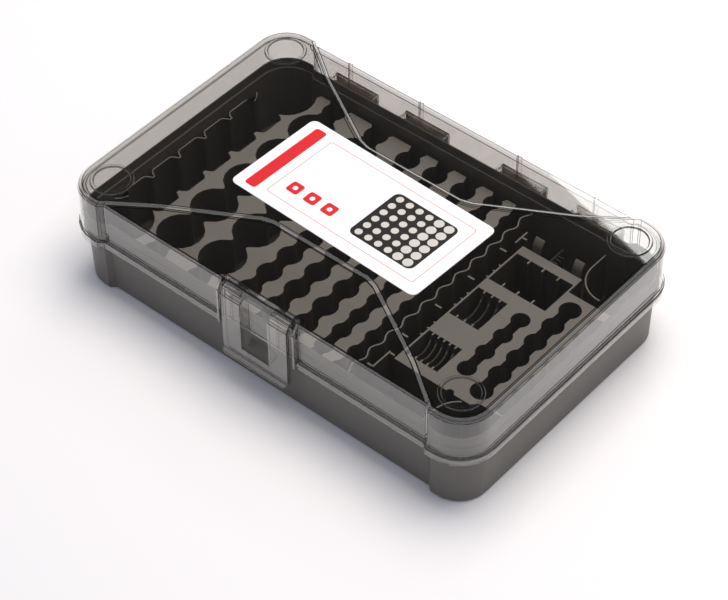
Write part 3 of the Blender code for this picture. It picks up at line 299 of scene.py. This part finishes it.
# Painted shade: the faces of the rounded edges let almost no light through, a dark tint in place of the
# dark lines that bent light draws along clear edges.
edge_material = smoked("smoked_polycarbonate_edge", passed="161412", roughness=0.03, mirror=1.2)
for clear_name, clear_body in (("lid_shell", "lid"), ("latch_plate", "latch")):
    softened([clear_name], clear_body, clear_material, lid_rounding,
             edge_material, lid_crease)

# Card: coated white card laid on the raised panel, printed with a plain pattern of red blocks, a thin
# frame and a dark field of pale dots, with no words, names or marks. The print is a skin on the card.
# It throws no shadow, so that the pockets under it are lit as evenly as in a product photograph.

card_middle = (-4.7 * MM, 1 * MM)
card_turn = radians(-2)
card_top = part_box("label_card")[1][2]
print_skin = 0.03 * MM
print_gap = 0.01 * MM
card_rounding = 0.05 * MM
fibre_size = 0.8 * MM
mottle_darkest = 0.97


def coated(name, colour, roughness):
    """Coated card or ink on it: nearly flat, with a soft even sheen and the faint mottle of paper."""
    material = bpy.data.materials.new(name)
    material.use_nodes = True
    tree = material.node_tree
    tree.nodes.clear()
    place = put(tree, "ShaderNodeTexCoord").outputs["Object"]
    fibre = put(tree, "ShaderNodeTexNoise", {"Vector": place, "Scale": 1 / fibre_size, "Detail": 3.0})
    shade = put(tree, "ShaderNodeMapRange", {"Value": fibre.outputs["Fac"], "To Min": mottle_darkest})
    tone = put(tree, "ShaderNodeMix", {0: 1.0, 6: linear(colour), 7: shade.outputs["Result"]},
               data_type="RGBA", blend_type="MULTIPLY")
    shader = put(tree, "ShaderNodeBsdfPrincipled", {"Base Color": tone.outputs[2],
                                                    "Roughness": roughness})
    put(tree, "ShaderNodeOutputMaterial", {"Surface": shader.outputs["BSDF"]})
    return material


def rounded(left, low, right, high, corner):
    """The outline of a rectangle with round corners, in the card's own directions."""
    points = []
    for x, y, start in ((right - corner, high - corner, 0), (left + corner, high - corner, pi / 2),
                        (left + corner, low + corner, pi), (right - corner, low + corner, 3 * pi / 2)):
        for step in range(6):
            angle = start + pi / 2 * step / 5
            points.append((x + corner * cos(angle), y + corner * sin(angle)))
    return points


def printed(name, outlines, material, layer):
    """Flat ink shapes on the card. Two outlines drawn one in the other make a frame."""
    drawing = bpy.data.curves.new(name, "CURVE")
    drawing.dimensions = "2D"
    drawing.fill_mode = "BOTH"
    drawing.extrude = print_skin / 2
    for outline in outlines:
        spline = drawing.splines.new("POLY")
        spline.points.add(len(outline) - 1)
        for point, (x, y) in zip(spline.points, outline):
            point.co = (x, y, 0, 1)
        spline.use_cyclic_u = True
    drawing.materials.append(material)
    piece = bpy.data.objects.new(name, drawing)
    bpy.context.scene.collection.objects.link(piece)
    height = card_top + print_gap + print_skin * (layer + 0.5) + print_gap * layer
    piece.matrix_world = Matrix.Translation((*card_middle, height)) @ Matrix.Rotation(card_turn, 4, "Z")
    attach(piece, "lid")
    piece.visible_shadow = False
    piece.visible_diffuse = False
    return piece


card_material = coated("coated_card", "fdfdfc", 0.5)
card = softened(["label_card"], "lid", card_material, card_rounding)
card.visible_shadow = False
card.visible_diffuse = False
red_ink = coated("red_ink", "e62b2f", 0.4)
dark_ink = coated("dark_ink", "2a2725", 0.4)
pale_ink = coated("pale_ink", "d9d5cd", 0.4)
line_ink = coated("fine_red_line", "d79a94", 0.45)

printed("card_red_band", [rounded(-62 * MM, -30 * MM, -54 * MM, 30 * MM, 2 * MM)], red_ink, 0)
printed("card_fine_frame", [rounded(-48 * MM, -27 * MM, 61 * MM, 27 * MM, 2 * MM),
                            rounded(-47.6 * MM, -26.6 * MM, 60.6 * MM, 26.6 * MM, 1.8 * MM)],
        line_ink, 0)
tile_first, tile_low, tile_size, tile_pitch = -41 * MM, -19 * MM, 8.4 * MM, 13 * MM
tile_hole = 2.6 * MM          # from a tile's edge to the hole in its middle
for order in range(3):
    left = tile_first + order * tile_pitch
    printed("card_red_tile_%d" % (order + 1),
            [rounded(left, tile_low, left + tile_size, tile_low + tile_size, 1.6 * MM),
             rounded(left + tile_hole, tile_low + tile_hole, left + tile_size - tile_hole,
                     tile_low + tile_size - tile_hole, 1.5 * MM)], red_ink, 0)
printed("card_dark_field", [rounded(8 * MM, -21 * MM, 54 * MM, 21 * MM, 4 * MM)], dark_ink, 0)
dot_first = (13 * MM, -17 * MM)
dot_pitch = (7.2 * MM, 6.8 * MM)
dot_radii = [2.3 * MM] * 4 + [3 * MM] * 2
dot_roundness = 0.98          # of the radius, so that no side of the outline is left without length
for row in range(6):
    for column, radius in enumerate(dot_radii):
        x = dot_first[0] + column * dot_pitch[0]
        y = dot_first[1] + row * dot_pitch[1]
        printed("card_dot_%d_%d" % (row + 1, column + 1),
                [rounded(x - radius, y - radius, x + radius, y + radius, radius * dot_roundness)],
                pale_ink, 1)

# Studio: a white floor and a white surround, with a dark screen behind the case's rear left that the
# lid's flat top mirrors, a softbox that shows in the lid's rear corner, and one wide lamp overhead. The
# floor takes the case's shadow, and further out it fades into the plain white of the surround.

floor_half = 3.0
floor_colour = "fefdfb"
shadow_reach = 0.35           # from the middle of the case, where the floor begins to fade
surround_from = 0.9
floor_mesh = bpy.data.meshes.new("floor")
floor_mesh.from_pydata([(-floor_half, -floor_half, 0), (floor_half, -floor_half, 0),
                        (floor_half, floor_half, 0), (-floor_half, floor_half, 0)], [], [(0, 1, 2, 3)])
floor_material = bpy.data.materials.new("white_floor")
floor_material.use_nodes = True
floor_tree = floor_material.node_tree
floor_tree.nodes.clear()
floor_diffuse = put(floor_tree, "ShaderNodeBsdfDiffuse", {"Color": linear(floor_colour)})
floor_white = put(floor_tree, "ShaderNodeEmission", {"Color": linear(floor_colour), "Strength": 1.0})
floor_place = put(floor_tree, "ShaderNodeTexCoord").outputs["Object"]
floor_far = put(floor_tree, "ShaderNodeVectorMath", {0: floor_place}, operation="LENGTH")
floor_fade = put(floor_tree, "ShaderNodeMapRange", {"Value": floor_far.outputs["Value"],
                                                    "From Min": shadow_reach, "From Max": surround_from})
floor_ray = put(floor_tree, "ShaderNodeLightPath")
floor_mirrored = put(floor_tree, "ShaderNodeMath", {0: floor_ray.outputs["Is Glossy Ray"],
                                                    1: floor_ray.outputs["Is Transmission Ray"]},
                     operation="MAXIMUM")
floor_seen = put(floor_tree, "ShaderNodeMath", {0: floor_ray.outputs["Is Camera Ray"],
                                                1: floor_mirrored.outputs[0]}, operation="MAXIMUM")
floor_share = put(floor_tree, "ShaderNodeMath", {0: floor_fade.outputs["Result"],
                                                 1: floor_seen.outputs[0]}, operation="MULTIPLY")
floor_mixed = put(floor_tree, "ShaderNodeMixShader", {0: floor_share.outputs[0],
                                                      1: floor_diffuse.outputs[0],
                                                      2: floor_white.outputs[0]})
put(floor_tree, "ShaderNodeOutputMaterial", {"Surface": floor_mixed.outputs[0]})
floor_mesh.materials.append(floor_material)
floor = bpy.data.objects.new("floor", floor_mesh)
bpy.context.scene.collection.objects.link(floor)

screen_towards = (-0.46, 0.53, 0.71)
screen_edge, screen_core = 0.8, 0.9   # cosines of the angles at which the screen fades in and is full
screen_glow = 0.045
fill_strength = 0.45          # of the surround, on everything but mirrors and the camera
world = bpy.data.worlds.new("studio")
bpy.context.scene.world = world
world.use_nodes = True
world_tree = world.node_tree
world_tree.nodes.clear()
world_ray = put(world_tree, "ShaderNodeLightPath")
world_seen = put(world_tree, "ShaderNodeMath", {0: world_ray.outputs["Is Camera Ray"],
                                                1: world_ray.outputs["Is Transmission Ray"]},
                 operation="MAXIMUM")
world_way = put(world_tree, "ShaderNodeTexCoord").outputs["Generated"]
world_near = put(world_tree, "ShaderNodeVectorMath", {0: world_way, 1: screen_towards},
                 operation="DOT_PRODUCT").outputs["Value"]
world_mirrored = put(world_tree, "ShaderNodeMapRange", {"Value": world_near,
                                                        "From Min": screen_edge,
                                                        "From Max": screen_core,
                                                        "To Min": 1.0, "To Max": screen_glow})
world_diffuse = put(world_tree, "ShaderNodeMapRange", {"Value": world_seen.outputs[0],
                                                       "To Min": fill_strength, "To Max": 1.0})
world_strength = put(world_tree, "ShaderNodeMix", {0: world_ray.outputs["Is Glossy Ray"],
                                                   2: world_diffuse.outputs["Result"],
                                                   3: world_mirrored.outputs["Result"]})
world_tint = put(world_tree, "ShaderNodeMix", {0: world_ray.outputs["Is Diffuse Ray"],
                                               6: linear("fefdfc"), 7: linear("e4e9ff")},
                 data_type="RGBA")
world_light = put(world_tree, "ShaderNodeBackground", {"Color": world_tint.outputs[2],
                                                       "Strength": world_strength.outputs[0]})
put(world_tree, "ShaderNodeOutputWorld", {"Surface": world_light.outputs[0]})


def softbox(name, place, turn, size, power, colour, mirrored):
    """A rectangular lamp that shines straight down. One that isn't mirrored lights without a glare."""
    lamp = bpy.data.lights.new(name, "AREA")
    lamp.shape = "RECTANGLE"
    lamp.size = size[0]
    lamp.size_y = size[1]
    lamp.energy = power
    lamp.color = linear(colour)[:3]
    holder = bpy.data.objects.new(name, lamp)
    bpy.context.scene.collection.objects.link(holder)
    holder.location = place
    holder.rotation_euler = (0, 0, turn)
    holder.visible_glossy = mirrored
    return holder


softbox("rear_softbox", place=(-0.295, 0.912, 0.9), turn=radians(-16.3), size=(0.5, 0.25), power=1.45,
        colour="ffffff", mirrored=True)
softbox("overhead_lamp", place=(0.14, 0.4, 1.5), turn=0, size=(1.3, 1.1), power=21.0,
        colour="fff8f0", mirrored=False)

# Camera: it stands where the photograph was taken from, high up off the case's front right corner. Its
# place, turn and lens were worked out from the case's outline.

camera_place = Vector((653.04, -755.97, 1015.61)) * MM
camera_azimuth = radians(40.9655)
camera_elevation = radians(45.518)
camera_roll = radians(-0.729)
lens_length = 123.23          # millimetres, for a film 36 mm wide
film_width = 36
back = Vector((sin(camera_azimuth) * cos(camera_elevation), -cos(camera_azimuth) * cos(camera_elevation),
               sin(camera_elevation)))
across = Vector((cos(camera_azimuth), sin(camera_azimuth), 0))
above = back.cross(across)
right = across * cos(camera_roll) + above * sin(camera_roll)
up = above * cos(camera_roll) - across * sin(camera_roll)
lens = bpy.data.cameras.new("camera")
lens.sensor_width = film_width
lens.lens = lens_length
camera = bpy.data.objects.new("camera", lens)
camera.matrix_world = Matrix.Translation(camera_place) @ Matrix((right, up, back)).transposed().to_4x4()
bpy.context.scene.collection.objects.link(camera)
bpy.context.scene.camera = camera
bpy.context.scene.view_settings.view_transform = "Standard"
